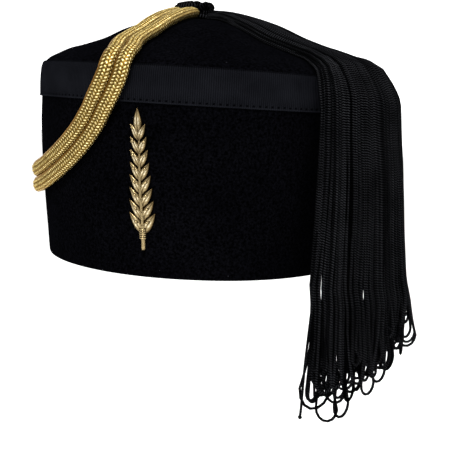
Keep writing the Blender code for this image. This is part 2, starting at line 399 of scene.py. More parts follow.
# ==== materials
class Shader:
    """The nodes of a material or a world, with short ways to add and join them. The scales of its
    textures are waves in a metre."""

    def __init__(self, block, main="Principled BSDF"):
        block.use_nodes = True
        self.block = block
        self.nodes = block.node_tree.nodes
        self.links = block.node_tree.links
        self.main = self.nodes[main]

    def put(self, value, socket):
        """Joins a socket to another node's output, or sets it to a plain value."""
        if isinstance(value, bpy.types.NodeSocket):
            self.links.new(value, socket)
        else:
            socket.default_value = value

    def set(self, **values):
        """Fills sockets of the main node; an underscore in a name stands for a space."""
        for name, value in values.items():
            self.put(value, self.main.inputs[name.replace("_", " ")])

    def node(self, kind, inputs=None, **properties):
        node = self.nodes.new(kind)
        for name, value in properties.items():
            setattr(node, name, value)
        for key, value in (inputs or {}).items():
            self.put(value, node.inputs[key])
        return node

    def position(self):
        return self.node("ShaderNodeTexCoord").outputs["Object"]

    def noise(self, scale, detail=3.0, vector=None, roughness=0.55):
        inputs = {"Vector": vector or self.position(), "Scale": scale, "Detail": detail}
        inputs["Roughness"] = roughness
        return self.node("ShaderNodeTexNoise", inputs).outputs["Fac"]

    def stretch(self, factors):
        inputs = {"Vector": self.position(), "Scale": factors}
        return self.node("ShaderNodeMapping", inputs).outputs["Vector"]

    def cells(self, scale):
        return self.node("ShaderNodeTexVoronoi", {"Vector": self.position(), "Scale": scale})

    def maths(self, operation, a, b=0.0):
        return self.node("ShaderNodeMath", {0: a, 1: b}, operation=operation).outputs[0]

    def ramp(self, value, stops):
        """A colour ramp; stops are (place, (r, g, b))."""
        node = self.node("ShaderNodeValToRGB", {"Fac": value})
        ramp = node.color_ramp
        while len(ramp.elements) < len(stops):
            ramp.elements.new(0.5)
        for element, (place, colour) in zip(ramp.elements, stops):
            element.position = place
            element.color = (*colour, 1.0)
        return node.outputs["Color"]

    def greys(self, value, *stops):
        """A ramp of greys; stops are (place, brightness)."""
        return self.ramp(value, [(place, (grey, grey, grey)) for place, grey in stops])

    def relief(self):
        """The piece's own relief value at each point, from which the looks paint light and shade."""
        return self.node("ShaderNodeAttribute", attribute_name="relief").outputs["Fac"]

    def run(self):
        """A tube's own coordinates: X round it, with the tube's number added, and Y along it."""
        run_uv = self.node("ShaderNodeUVMap", uv_map="run").outputs["UV"]
        return self.node("ShaderNodeSeparateXYZ", {"Vector": run_uv})

    def mix(self, factor, a, b, **properties):
        """Two colours mixed: 6, 7 and 2 are the numbers of the node's colour sockets."""
        properties["data_type"] = "RGBA"
        return self.node("ShaderNodeMix", {0: factor, 6: a, 7: b}, **properties).outputs[2]

    def times(self, a, b):
        """Two colours multiplied."""
        return self.mix(1.0, a, b, blend_type="MULTIPLY")

    def bump(self, height, distance, strength, under=None):
        """Normals from a height of 0 to 1; distance is in millimetres, under is an earlier bump."""
        inputs = {"Height": height, "Distance": distance * MM, "Strength": strength}
        if under is not None:
            inputs["Normal"] = under
        return self.node("ShaderNodeBump", inputs).outputs["Normal"]


def felt_look(shade):
    """Matt black wool felt: a short random fuzz, faint clouding, and a few pale specks of lint."""
    shade.set(Roughness=0.95, Specular_IOR_Level=0.0)
    shade.set(Sheen_Weight=0.0012, Sheen_Roughness=0.5, Sheen_Tint=(0.75, 0.8, 1.0, 1.0))
    clouds = shade.noise(28.0, 4.0)
    base = shade.ramp(clouds, [(0.30, (0.0004, 0.0004, 0.0006)), (0.72, (0.0008, 0.0008, 0.0011))])
    speck = shade.greys(shade.cells(210.0).outputs["Distance"], (0.035, 1.0), (0.07, 0.0))
    rare = shade.greys(shade.noise(75.0, 1.0), (0.64, 0.0), (0.67, 1.0))
    lint = shade.maths("MULTIPLY", speck, rare)
    fibres = shade.greys(shade.noise(800.0), (0.36, 0.2), (0.68, 2.1))
    shade.set(Base_Color=shade.mix(lint, shade.times(base, fibres), (0.016, 0.016, 0.019, 1.0)))
    fuzz = shade.noise(2300.0, 5.0, roughness=0.7)
    tufts = shade.noise(700.0)
    shade.set(Normal=shade.bump(fuzz, 0.35, 0.7, shade.bump(tufts, 0.4, 0.4)))


def ribbon_look(shade):
    """Black ribbed ribbon: the ribs are modelled, and this adds the thread that crosses them and painted
    shade and light on them.
    """
    shade.set(Roughness=0.6, Specular_IOR_Level=0.0)
    wear = shade.noise(55.0, 4.0)
    tone = shade.ramp(wear, [(0.3, (0.0019, 0.0020, 0.0026)), (0.7, (0.0033, 0.0035, 0.0045))])
    # painted shade in the grooves and the stitches' dents, and painted light on the ribs' tops, from the
    # band's relief
    low = shade.greys(shade.relief(), (0.40, 0.35), (0.58, 1.6))
    shade.set(Base_Color=shade.times(tone, low))
    threads = shade.noise(900.0, 2.0, shade.stretch((1.0, 1.0, 5.0)))
    shade.set(Normal=shade.bump(threads, 0.12, 0.5))


def twist_height(shade, pitch):
    """The height of plies that wind round a strand, 0 to 1; each strand starts at its own turn."""
    run = shade.run()
    start = shade.maths("MULTIPLY", shade.maths("FLOOR", run.outputs["X"]), STRAND_TURN)
    steps = shade.maths("DIVIDE", run.outputs["Y"], pitch)
    turns = shade.maths("ADD", shade.maths("ADD", run.outputs["X"], start), steps)
    wave = shade.maths("SINE", shade.maths("MULTIPLY", turns, 2 * math.pi))
    return shade.maths("ADD", shade.maths("MULTIPLY", wave, 0.5), 0.5)


def strand_look(shade):
    """Black twisted rayon cord with its plies in relief; its silky look is a painted highlight on each
    ply, with painted shade between them.
    """
    shade.set(Roughness=0.5, Specular_IOR_Level=0.0)
    height = twist_height(shade, STRAND_TWIST)
    # a painted highlight on each ply's top and painted shade in the grooves between the plies
    plies = shade.ramp(height, [(0.60, (0.0001, 0.0001, 0.0001)), (1.0, (0.0130, 0.0134, 0.0150))])
    worn = shade.greys(shade.noise(60.0), (0.3, 0.6), (0.7, 1.2))
    number = shade.maths("FLOOR", shade.run().outputs["X"])
    chance = shade.node("ShaderNodeTexWhiteNoise", {"W": number}, noise_dimensions="1D")
    each = shade.greys(chance.outputs["Value"], (0.0, 0.08), (1.0, 1.6))
    shade.set(Base_Color=shade.times(shade.times(plies, worn), each))
    fibres = shade.noise(1500.0, 2.0)
    shade.set(Normal=shade.bump(height, 0.45, 0.9, shade.bump(fibres, 0.1, 0.3)))


def gold_look(shade):
    """Braided gilt thread: a painted highlight on top of each stitch, painted shade in between, browner
    on the smooth sides.
    """
    shade.set(Metallic=0.75, Specular_IOR_Level=0.3, Specular_Tint=(0.80, 0.58, 0.25, 1.0))
    stops = [
        (0.10, (0.032, 0.020, 0.004)),
        (0.22, (0.048, 0.032, 0.007)),
        (0.30, (0.135, 0.070, 0.011)),
        (0.42, (0.095, 0.067, 0.015)),
        (0.66, (0.300, 0.228, 0.073)),
        (0.93, (0.780, 0.680, 0.390)),
    ]
    # the gold's colour, with a painted highlight on the stitches' tops and painted shade between them
    tone = shade.ramp(shade.relief(), stops)
    # random small cells of painted glints, brighter and darker, over the gold's colour
    spark = shade.cells(1300.0).outputs["Color"]
    painted_glints = shade.ramp(spark, [(0.15, (0.42, 0.38, 0.30)), (0.85, (1.20, 1.18, 1.12))])
    shade.set(Base_Color=shade.times(tone, painted_glints))
    shade.set(Roughness=shade.greys(shade.noise(700.0, 2.0), (0.3, 0.24), (0.7, 0.42)))
    threads = shade.noise(1700.0, 2.0)
    shade.set(Normal=shade.bump(threads, 0.3, 0.6))


def gilt_look(shade):
    """Gilt metal, with a painted highlight where it stands out and painted shade, browner, in its
    hollows.
    """
    shade.set(Metallic=1.0, Specular_IOR_Level=0.5)
    stops = [
        (0.05, (0.010, 0.006, 0.002)),
        (0.40, (0.062, 0.042, 0.018)),
        (0.75, (0.210, 0.160, 0.080)),
        (0.98, (0.800, 0.710, 0.500)),
    ]
    # painted shade in the hollows and a painted highlight where the badge stands out, from its relief
    shade.set(Base_Color=shade.ramp(shade.relief(), stops))
    shade.set(Roughness=shade.greys(shade.noise(420.0), (0.3, 0.14), (0.7, 0.30)))
    shade.set(Normal=shade.bump(shade.noise(900.0), 0.15, 0.4))


LOOKS = {
    "felt_black": felt_look,
    "ribbon_black": ribbon_look,
    "gold_braid": gold_look,
    "tassel_black": strand_look,
    "gilt_metal": gilt_look,
}


def make_material(slot):
    """A slot's material, with the look that is drawn for it."""
    material = bpy.data.materials.new(f"{slot}_look")
    LOOKS[slot](Shader(material))
    return material


# ==== felt body
DENTS = ((0.55, 0.022), (0.18, 0.075))  # mm deep, waves in a mm
DENTS_AT_RIM = 0.3  # the share of them that is left at the rim
DENTS_FULL_UP = 12.0  # from here up they are whole
FELT_COLUMNS = 200
PEAK_CAP = 0.6  # each face of the skin ends this far from the peak, at a small flat cap
FELT_RUNS = ((2.0, 112.0, 60), (113.2, 132.0, 18), (135.0, PEAK_UP - PEAK_CAP, 34))  # from, to, rows
RIM_EDGE = ((1.0, -FELT_WALL), (0.25, -1.75), (0.0, -1.0), (0.25, -0.25), (1.0, 0.0))  # up, lift


def dents(points):
    """How far the soft felt stands in or out of its even form at each point, in millimetres."""
    out = np.empty(len(points))
    for i, point in enumerate(points):
        place = Vector(point)
        out[i] = sum(depth * noise.noise(place * waves) for depth, waves in DENTS)
    return out


def build_felt():
    """One closed skin: from the peak down the inner face, round the rim and up the outer face."""
    ups = np.concatenate([np.linspace(*run) for run in FELT_RUNS])
    rows = [(up, -FELT_WALL) for up in ups[::-1]] + list(RIM_EDGE) + [(up, 0.0) for up in ups]
    up = np.repeat([row[0] for row in rows], FELT_COLUMNS)
    lift = np.repeat([row[1] for row in rows], FELT_COLUMNS)
    azimuth = np.tile(round_steps(FELT_COLUMNS, 360.0), len(rows))
    uneven = dents(on_felt(up, azimuth)) * np.clip(up / DENTS_FULL_UP, DENTS_AT_RIM, 1.0)
    points = on_felt(up, azimuth, lift + uneven)
    mesh_piece("felt_crown", "crown", "felt_black", points, capped_faces(len(rows), FELT_COLUMNS))


# ==== ribbon band
RIBS = 540
RIB_COLUMNS = 5  # of points for each rib
RIB_DEPTH = 0.24
STITCH_PITCH = 3.5
STITCH_UP = 1.5  # above the band's lower edge
STITCH_REACH = 0.6  # from a stitch's middle to its dent's edge
STITCH_DEPTH = 0.55
BAND_RELIEF = 0.5  # of relief for each mm of height; the ribbon's painted shade and light come from it
DENT_SAMPLES = 181  # places round the band where the felt's dents are measured
BAND_FACE = (
    # up from the band's lower edge, lift: a raised lip below, flat, and a thin line at the top
    (0.3, 0.02),
    (0.05, 0.20),
    (0.0, 0.55),
    (0.3, 0.95),
    (0.7, 0.92),
    (0.9, 0.72),
    *((up, 0.70) for up in (1.1, 1.3, 1.5, 1.7, 1.9, 2.1, 2.5)),
    (4.0, 0.72),
    (8.0, 0.75),
    (12.0, 0.72),
    (16.0, 0.70),
    (18.3, 0.68),
    (18.8, 0.42),
    (19.1, 0.60),
    (19.5, 0.30),
    (19.5, 0.02),
)


def band_girth():
    """The length round the band's middle."""
    _, wide, long, _ = section_at(np.array(0.5 * (BAND_LOW + BAND_HIGH)))
    return 2 * math.pi * math.sqrt((float(wide) ** 2 + float(long) ** 2) / 2)


def build_band():
    """A ribbed ribbon round the wall, with a row of stitches along its lower edge."""
    columns = RIBS * RIB_COLUMNS
    azimuths = round_steps(columns, 360.0)
    turns = azimuths / 360.0
    girth = band_girth()
    stitches = round(girth / STITCH_PITCH)
    from_stitch = np.abs(turns * stitches - np.round(turns * stitches)) * girth / stitches
    rib = 0.5 * np.cos(turns * RIBS * 2 * math.pi)
    coarse = np.linspace(0.0, 360.0, DENT_SAMPLES)
    ribbed_rows = range(3, len(BAND_FACE) - 2)  # the face, without its edges
    points = []
    relief = []
    for index, (up, lift) in enumerate(BAND_FACE):
        here = np.full(columns, lift + GAP)
        if index in ribbed_rows:
            here += RIB_DEPTH * rib
            reach = np.hypot(from_stitch, up - STITCH_UP) / STITCH_REACH
            here -= STITCH_DEPTH * np.clip(1.0 - reach**2, 0.0, 1.0)
        bulge = dents(on_felt(np.full(DENT_SAMPLES, BAND_LOW + up), coarse))
        bulge[-1] = bulge[0]
        lifts = here + np.interp(azimuths, coarse, bulge)
        points.append(on_felt(np.full(columns, BAND_LOW + up), azimuths, lifts))
        relief.append(BAND_RELIEF * here)
    total = len(BAND_FACE) * columns
    faces = [tuple(i % total for i in face) for face in grid_faces(len(BAND_FACE) + 1, columns, True)]
    points, relief = np.concatenate(points), np.concatenate(relief)
    mesh_piece("grosgrain_band", "ribbon_band", "ribbon_black", points, faces, relief=relief)


# ==== gold cords
def cord_rise(up):
    """How far a cord's middle stands off the felt: more where it lies over the band."""
    on_band = np.minimum(up - (BAND_LOW - CORD_BAND_RUN), (BAND_HIGH + CORD_BAND_RUN) - up)
    over_band = eased(share_of(on_band, 0.0, CORD_BAND_RUN)) * (GAP + BAND_THICK)
    return CORD_HALF_THICK + GAP + CORD_CLEAR + over_band


def swag_route(side, step):
    """Points a step apart down the middle of one cord, with the ways across it and away from the
    felt, and the distance along it; side is 1 for the upper cord and -1 for the lower."""
    rows = SWAG_FRONT + SWAG_BACK
    count = (len(rows) - 1) * ROUTE_POINTS
    azimuth, up = smooth_rows(rows, np.arange(count + 1) / ROUTE_POINTS).T
    middle = on_felt(up, azimuth, cord_rise(up))
    away = felt_normals(up, azimuth)
    across = np.cross(away, np.gradient(middle, axis=0))
    across /= np.linalg.norm(across, axis=1, keepdims=True)
    route = middle - across * side * CORD_PITCH / 2
    along = np.concatenate([[0.0], np.cumsum(np.linalg.norm(np.diff(route, axis=0), axis=1))])
    at = np.linspace(0.0, along[-1], round(along[-1] / step) + 1)
    table = np.column_stack([route, across, away])
    fine = np.stack([np.interp(at, along, column) for column in table.T], axis=1)
    return fine[:, 0:3], fine[:, 3:6], fine[:, 6:9], at


def bead_height(angle, along):
    """The relief of a braided cord, 0 to 1: rows of stitches that lean by turns left and right, and
    one smooth side."""
    turn = angle * BEAD_COLUMNS / (2 * math.pi)
    column = np.floor(turn)
    off = turn - column - 0.5
    odd = column % 2
    phase = along / BEAD_PITCH + 0.5 * odd + BEAD_LEAN * off * (1.0 - 2.0 * odd)
    bead = 0.5 + 0.5 * np.cos(2 * math.pi * phase)
    body = np.sqrt(np.clip(1.0 - (BEAD_NARROW * off) ** 2, 0.0, 1.0))
    stitch = body * (BEAD_LOW + (1.0 - BEAD_LOW) * bead**BEAD_POINT)
    braided = share_of(np.cos(angle), *BRAIDED)
    return SMOOTH_HEIGHT + braided * (stitch - SMOOTH_HEIGHT)


def build_gold_cord(name, node, side):
    """One braided cord of the swag: plain towards the felt, with its stitches in relief outside."""
    route, across, away, at = swag_route(side, CORD_STEP)
    angles = round_steps(CORD_SIDES)
    height = bead_height(angles[None, :], at[:, None])
    sides, face = np.cos(angles)[None, :, None], np.sin(angles)[None, :, None]
    stand = np.where(face > 0.0, CORD_HALF_THICK + BEAD_DEPTH * (height[..., None] - 1.0), PLAIT_UNDER)
    sunk = dents(route)[:, None, None] * away[:, None]
    ring = PLAIT_HALF_WIDTH * sides * across[:, None] + stand * face * away[:, None]
    points = route[:, None] + ring + sunk
    faces = capped_faces(len(route), CORD_SIDES)
    # the relief also paints a highlight on each stitch and shade between the stitches
    cord = mesh_piece(name, node, "gold_braid", points.reshape(-1, 3), faces, relief=height.ravel())
    path = swag_route(side, PATH_STEP)[0]


# ==== top knot
KNOT_MIDDLE = (1.0, 0.0, 5.9)  # from the dome's peak
KNOT_RING = 4.5  # radius of the ring that the cord winds round
KNOT_BODY = 2.1  # how far the winding reaches in and out of it
KNOT_TALL = 1.35  # height of the winding for each mm of its width
KNOT_LEADS = 2  # times round the ring...
KNOT_BIGHTS = 5  # ...while it winds this often
KNOT_CORD = 1.6  # radius
KNOT_SIDES = 8
WINDING_POINTS = 300
RING_POINTS = 40
HOOPS = ((-4.2, 4.6), (-1.7, 4.4), (0.0, 4.7), (1.7, 4.2))  # height, radius: they fill the winding
HOOP_CORD = 1.5
CORE = ((0.0, 0.0, -2.8), (0.0, 0.0, 2.9))  # its ends
CORE_RADIUS = 2.4
BIGHT_AT = (-7.4, 7.6)  # from the knot's middle, across and to both sides: over the gold cords' starts
BIGHT_HALF = (5.2, 2.6)
BIGHT_CORD = 1.75
BIGHT_RISE = 1.5  # of a bight's end that lies next to the knot
BIGHT_SINK = 0.4
BIGHTS = ((0.9, -2.0), (1.0, 0.0), (0.75, 1.3))  # size, height


def build_knot():
    """A cord wound round and through a ring of hoops, with bights over the gold cords' starts."""
    tubes = Tubes(KNOT_SIDES)
    centre = felt_points(np.array(PEAK_UP), np.array(0.0)) + np.array(KNOT_MIDDLE)
    turns = np.linspace(0.0, 2 * math.pi, WINDING_POINTS)
    reach = KNOT_RING + KNOT_BODY * np.cos(KNOT_BIGHTS * turns)
    heights = KNOT_TALL * KNOT_BODY * np.sin(KNOT_BIGHTS * turns)
    angles = KNOT_LEADS * turns
    winding = np.stack([reach * np.cos(angles), reach * np.sin(angles), heights], axis=1)
    tubes.add(centre + winding, KNOT_CORD)
    ring = np.linspace(0.0, 2 * math.pi, RING_POINTS)
    for height, size in HOOPS:
        heights = np.full(RING_POINTS, height)
        hoop = np.stack([size * np.cos(ring), size * np.sin(ring), heights], axis=1)
        tubes.add(centre + hoop, HOOP_CORD)
    tubes.add(centre + np.array(CORE), CORE_RADIUS)
    for side in (-1.0, 1.0):
        for size, height in BIGHTS:
            across = BIGHT_AT[0] - size * BIGHT_HALF[0] * np.cos(ring)
            along = side * BIGHT_AT[1] + size * BIGHT_HALF[1] * np.sin(ring)
            heights = height + BIGHT_RISE * (0.5 - 0.5 * np.cos(ring)) - BIGHT_SINK
            tubes.add(centre + np.stack([across, along, heights], axis=1), BIGHT_CORD)
    tubes.piece("wrapped_knot", "top_knot", "tassel_black")


# ==== tassel
STRANDS_FROM = 209.5  # inside the knot
STRANDS_THICK = 34.0  # the bunch without its stray loops
SHOULDER_UP = 96.0  # strands bend more above this, so their points lie closer together
SHOULDER_BULGE = 1.6  # strands stand up a little where they bend over the shoulder
BULGE_UP = 103.0
BULGE_REACH = 8.0
SECTION_EVEN = (-6.0, -3.0, 0.0, 3.0, 6.0)  # each section is the mean of those at these places
HANG_LEVEL = (96.0, 120.0)  # below this stretch strands lie off the felt in a level direction
SHORT_NEAR = 0.40  # this share of the loops at the near edge end higher, so light shows between them
SHORT_FAR = 0.85  # and this share at the far edge
SHORT_BY = (6.0, 18.0)
LOOP_REACH = 24.0  # a loop opens over this last part of its legs
INNER_SHORTER = 14.0  # a strand next to the felt ends this much higher than one at the bunch's face
END_NEAR_WALL = -70.5  # the drop of a strand close to the wall, at the tassel's near edge
END_AZIMUTH = 56.0  # where that strand hangs
END_STAND = 12.0
END_FALL = 0.2  # mm lower for each degree towards the far edge
SHOULDER_POINTS = 33  # from the knot to the shoulder
EDGE_THICK = 0.45  # the share of the bunch's thickness that is left at its edges
CURLED = (112.0, 92.0)  # over this stretch the bunch curls away from the felt at its edges
CURL = 0.30
INNER_SINK = 0.6  # how far the innermost strands lie under the solid's inner face
LOOSENED = (120.0, -10.0)  # over this stretch strands sway more and more
LOOSE_LEAST = 0.35
DRIFTING = (70.0, -70.0)  # and over this one they drift from their even places
DRIFT_POWER = 1.4
SINKING = (100.0, 130.0)  # up this one they come to lie at different depths
SHARED_SWAY = 0.6  # mm that neighbours sway together
SHARED_WAVE = 42.0  # mm along for a radian
SHARED_CHANGE = 5.0  # radians from the near edge to the far one
OUT_SWAY = 0.5  # of a strand's sway, how much is towards the felt and away
OUT_WAVE = 24.0
OUT_PHASE = 1.7
OPEN_POWER = 1.5
LEAST_REACH = 9.0  # from the hat's middle, where the strands start
LOOP_POINTS = 8
LOOP_LEAST = 1.2
LOOP_LONG = 1.25  # how far a loop's end hangs for each mm of its half width
PLACE_SPREAD = 0.30  # of a loop from its even place, in loops
DEPTH_SPREAD = 0.06
DROP_SPREAD = (-3.0, 6.0)
HALF_GAP = (0.45, 0.65)  # from a loop's middle to a leg, in loops
SWAY = (0.3, 1.1)
WAVE = (12.0, 34.0)
DRIFT = 1.6
OUTWARD = (-1.0, 1.0)
OPEN = (0.6, 3.4)
TURN = (-0.4, 1.4)
SINK = 2.4
STRAY_HABIT = {"place": 0.0, "layer": 0.0, "phase": 0.0, "sway": 0.3, "wave": 24.0, "sink": 1.0}
STRAY_HALF_GAP = 0.02
BARE_KNOT_RADII = (0.5, 1.0, 1.2, 1.0, 0.4)  # along the knot, for each mm of its half height


def tassel_section(up):
    """near_azimuth, far_azimuth, lift and thick at each distance up the felt, evened out."""
    table = np.array(TASSEL_SECTIONS)[::-1]
    around = np.maximum(np.asarray(up)[..., None] + np.array(SECTION_EVEN), HANG_UP)
    columns = (table[:, k] for k in (1, 2, 3, 4))
    near, far, lift, thick = (np.interp(around, table[:, 0], c).mean(axis=-1) for c in columns)
    bulge = SHOULDER_BULGE * np.exp(-(((up - BULGE_UP) / BULGE_REACH) ** 2))
    thick = np.minimum(thick, STRANDS_THICK) + bulge
    return near + NEAR_DRAW * share_of(up, 0.0, NEAR_DRAWN), far, lift, thick


def hang_points(up, azimuth, stand):
    """Points a distance off the felt; past the shoulder that distance is level, as strands hang."""
    outward = felt_normals(up, azimuth)
    outward[..., 2] *= eased(share_of(up, *HANG_LEVEL))
    outward /= np.maximum(np.linalg.norm(outward, axis=-1, keepdims=True), TINY)
    return felt_points(up, azimuth) + stand[..., None] * outward


def stand_at(up, across, depth):
    """How far off the felt a strand lies, and the least that it may; depth is 0 at the bunch's face."""
    _, _, lift, thick = tassel_section(up)
    bulge = np.sqrt(np.clip(1.0 - np.abs(2.0 * across - 1.0) ** 3, 0.0, 1.0))
    outer = lift + thick * (EDGE_THICK + (1.0 - EDGE_THICK) * bulge) - STRAND_RADIUS
    curl = CURL * share_of(up, *CURLED)
    inner = lift - INNER_SINK + thick * curl * (1.0 - bulge) + STRAND_RADIUS
    return outer - depth * (outer - inner), inner


def end_drop(across, depth):
    """Where a strand turns back: the bunch's end slopes up, away from the wall and round the side."""
    level = np.array(HANG_UP)
    near, far, _, _ = tassel_section(level)
    azimuth = float(near + across * (far - near))
    slopes = np.array(END_SLOPES)
    slope = np.interp(azimuth, slopes[:, 0], slopes[:, 1])
    stand, _ = stand_at(level, across, depth)
    return END_NEAR_WALL - END_FALL * (azimuth - END_AZIMUTH) + slope * (float(stand) - END_STAND)


def leg_route(across, depth, drop, habit, side):
    """One leg of a loop, from the knot down to its drop; side is -1 or 1, for which way it opens."""
    upper = np.linspace(STRANDS_FROM, SHOULDER_UP, SHOULDER_POINTS)[:-1]
    lower = np.linspace(SHOULDER_UP, drop, math.ceil((SHOULDER_UP - drop) / STRAND_STEP) + 1)
    ups = np.concatenate([upper, lower])
    near, far, _, _ = tassel_section(ups)
    stand, inner = stand_at(ups, across, depth)
    loose = np.maximum(share_of(ups, *LOOSENED), LOOSE_LEAST)
    low = share_of(ups, *DRIFTING) ** DRIFT_POWER
    together = SHARED_SWAY * np.sin(ups / SHARED_WAVE + SHARED_CHANGE * habit["place"] + habit["layer"])
    own = habit["sway"] * np.sin(ups / habit["wave"] + habit["phase"])
    apart = side * habit["open"] * share_of(ups, drop + LOOP_REACH, drop) ** OPEN_POWER
    aside = loose * (together + own) + low * habit["drift"] + apart * math.cos(habit["turn"])
    reach = np.maximum(section_at(ups)[1] + stand, LEAST_REACH)
    azimuth = near + across * (far - near) + np.degrees(aside / reach)
    out_wave = np.cos(ups / OUT_WAVE + OUT_PHASE * habit["phase"])
    sink = habit["sink"] * share_of(ups, *SINKING)
    stand = stand + loose * OUT_SWAY * habit["sway"] * out_wave
    stand = stand + low * habit["outward"] + apart * math.sin(habit["turn"]) - sink
    return hang_points(ups, azimuth, np.maximum(stand, inner))


def loop_end(down, back):
    """The round turn that joins the bottoms of two legs."""
    middle = 0.5 * (down[-1] + back[-1])
    half = 0.5 * (back[-1] - down[-1])
    size = max(float(np.linalg.norm(half)), LOOP_LEAST)
    angles = np.linspace(0.0, math.pi, LOOP_POINTS)[1:-1]
    hang = np.array([0.0, 0.0, -LOOP_LONG * size])
    return [middle - half * math.cos(angle) + hang * math.sin(angle) for angle in angles]


def add_loop(tubes, place, half_gap, depth, drop, habit):
    """A loop of strand: down one leg, round its end and back up the other."""
    down = leg_route(within(place - half_gap), depth, drop, habit, -1.0)
    back = leg_route(within(place + half_gap), depth, drop, habit, 1.0)
    tubes.add(np.array(list(down) + loop_end(down, back) + list(back[::-1])), STRAND_RADIUS)


def draw_habit(rng, place, layer):
    """How one loop strays from an even bunch; the draws keep their order."""
    return {
        "place": place,
        "layer": layer,
        "phase": rng.uniform(0.0, 2 * math.pi),
        "sway": rng.uniform(*SWAY),  # mm
        "wave": rng.uniform(*WAVE),  # mm along for a radian
        "drift": rng.gauss(0.0, DRIFT),  # mm aside at its end
        "outward": rng.uniform(*OUTWARD),  # mm off the felt at its end
        "open": rng.uniform(*OPEN),  # mm from its middle to each leg, at its end
        "turn": rng.uniform(*TURN),  # of its opening from along the wall, in radians
        "sink": SINK * math.sqrt(rng.random()),  # mm lower over the dome
    }


def add_layer(tubes, rng, depth, loops):
    """The regular loops of one layer, side by side from the near edge to the far one."""
    layer = rng.uniform(0.0, 2 * math.pi)
    for index in range(loops):
        place = (index + 0.5 + rng.uniform(-PLACE_SPREAD, PLACE_SPREAD)) / loops
        habit = draw_habit(rng, place, layer)
        deep = within(depth + rng.uniform(-DEPTH_SPREAD, DEPTH_SPREAD))
        short_share = SHORT_NEAR + place * (SHORT_FAR - SHORT_NEAR)
        drop = end_drop(place, deep) + rng.uniform(*DROP_SPREAD) + INNER_SHORTER * deep
        drop += (rng.random() < short_share) * rng.uniform(*SHORT_BY)
        add_loop(tubes, place, rng.uniform(*HALF_GAP) / loops, deep, drop, habit)


def add_strays(tubes):
    """The loops that stand out of the bunch."""
    for place, depth, opening, turn, aside, outward, drop in STRAY_LOOPS:
        own = {"open": opening, "turn": math.radians(turn), "drift": aside, "outward": outward}
        add_loop(tubes, place, STRAY_HALF_GAP, depth, drop, {**STRAY_HABIT, **own})


def add_cut_strand(tubes):
    """The one strand that is cut, with a small knot in its end."""
    place, depth, aside, drop = BARE_END
    own = {"open": 0.0, "turn": 0.0, "drift": aside, "outward": 0.0}
    strand = leg_route(place, depth, drop, {**STRAY_HABIT, **own}, 1.0)
    tubes.add(strand, STRAND_RADIUS)
    heights = np.linspace(-BARE_KNOT, BARE_KNOT, len(BARE_KNOT_RADII))
    tubes.add(strand[-1] + np.outer(heights, (0.0, 0.0, 1.0)), np.array(BARE_KNOT_RADII) * BARE_KNOT)


def build_tassel():
    """A bunch of looped strands, in an outer and an inner piece."""
    rng = random.Random(TASSEL_SEED)
    bunches = {}
    for piece, depth, loops in TASSEL_LAYERS:
        tubes = bunches.setdefault(piece, Tubes(STRAND_SIDES))
        add_layer(tubes, rng, depth, loops)
    add_strays(bunches["tassel_outer"])
    add_cut_strand(bunches["tassel_outer"])
    for name, tubes in bunches.items():
        tubes.piece(name, "tassel", "tassel_black")


# ==== badge
LEAF_GRID = (13, 9)  # points along and across
LEAF_POWER = 0.8  # under 1 makes a leaf fuller, and widest below its middle
LEAF_LEAST = 0.06  # share of its width
LEAF_NARROWS = 0.15  # towards its tip
LEAF_BEND = 0.3
LEAF_FLAT = 2.2  # over 2 makes its face flatter in the middle
LEAF_END_HEIGHT = 0.35
LEAF_END = 0.03  # its face starts from this share of its length
LEAF_THICK = (0.35, 1.15)  # at its edges, and how much more for a relief of 1
MIDRIB = (0.16, 0.45)  # share of the leaf's width, depth
VEINS = (0.10, 1.3, 6.0)  # depth, lean, count
LEAF_RISE = 0.15  # of each pair over the one below it
LEFT_RISE = 0.1  # of the leaf on the wearer's left over its partner
LEAF_SUNK = 1.0  # a leaf starts this far under its foot
NECK_UP = 2.5  # where the top leaf starts, above the last pair's feet
TOP_LEAF = (0.95, 1.0)  # share of the other leaves' width, rise
SPRAY_SIDES = 12
STEM_POINTS = 40
STEM_PAST = 2.0  # up past the neck
STEM_SWAY = (0.25, 7.0)  # mm aside, mm along for a radian
STEM_PROUD = 1.0
STEM_RADII = (1.15, 0.6)
BINDING_FEET = (6.0, 10.5, 1.1)  # first, end and pitch of the rings round the stem
BINDING_POINTS = 20
BINDING_HALF = (1.5, 1.1)
BINDING_RADIUS = 0.5
STALK_REACH = np.array((0.0, 2.0, 3.6))
STALK_SLOPE = (0.75, 0.5)  # mm aside and up for each mm of reach
STALK_UP = 3.4
STALK_PROUD = 1.9
STALK_RADIUS = 0.3
BERRY_AT = (3.0, 5.4, 2.1)  # aside, up from the leaves' feet, off the felt
BERRY_POINTS = 7
BERRY_RADIUS = 0.95
BERRY_TIP = 0.02
TUBES_RELIEF = 0.75  # of the stem, its rings and the berries; it sets their painted light and shade


def badge_points(across, along, proud):
    """Points of the badge, which follows the felt: across to the wearer's left, along up the stem."""
    _, wide, _, _ = section_at(BADGE_LOW + along)
    slanted = across + BADGE_SLANT * ((BADGE_HIGH - BADGE_LOW) / 2 - along)
    azimuth = BADGE_AZIMUTH + np.degrees(slanted / wide)
    return on_felt(BADGE_LOW + along, azimuth, proud + GAP)


def leaf_relief(t, s):
    """The height of a leaf's upper face: domed, with a midrib groove and veins."""
    ends = LEAF_END_HEIGHT + (1.0 - LEAF_END_HEIGHT) * np.sin(math.pi * np.clip(t, LEAF_END, 1.0))
    crown = (1.0 - np.abs(s) ** LEAF_FLAT) * ends
    midrib_wide, midrib_deep = MIDRIB
    groove = midrib_deep * np.exp(-((s / midrib_wide) ** 2))
    depth, lean, count = VEINS
    veins = depth * np.cos((np.abs(s) * lean - t * count) * 2 * math.pi)
    return np.maximum(crown - groove + veins * crown, 0.0)


def grid_rim(rows, columns):
    """The points along the edge of a grid, in order round it."""
    rim = list(range(columns))
    rim += [r * columns + columns - 1 for r in range(1, rows)]
    rim += [(rows - 1) * columns + c for c in range(columns - 2, -1, -1)]
    rim += [r * columns for r in range(rows - 2, 0, -1)]
    return rim


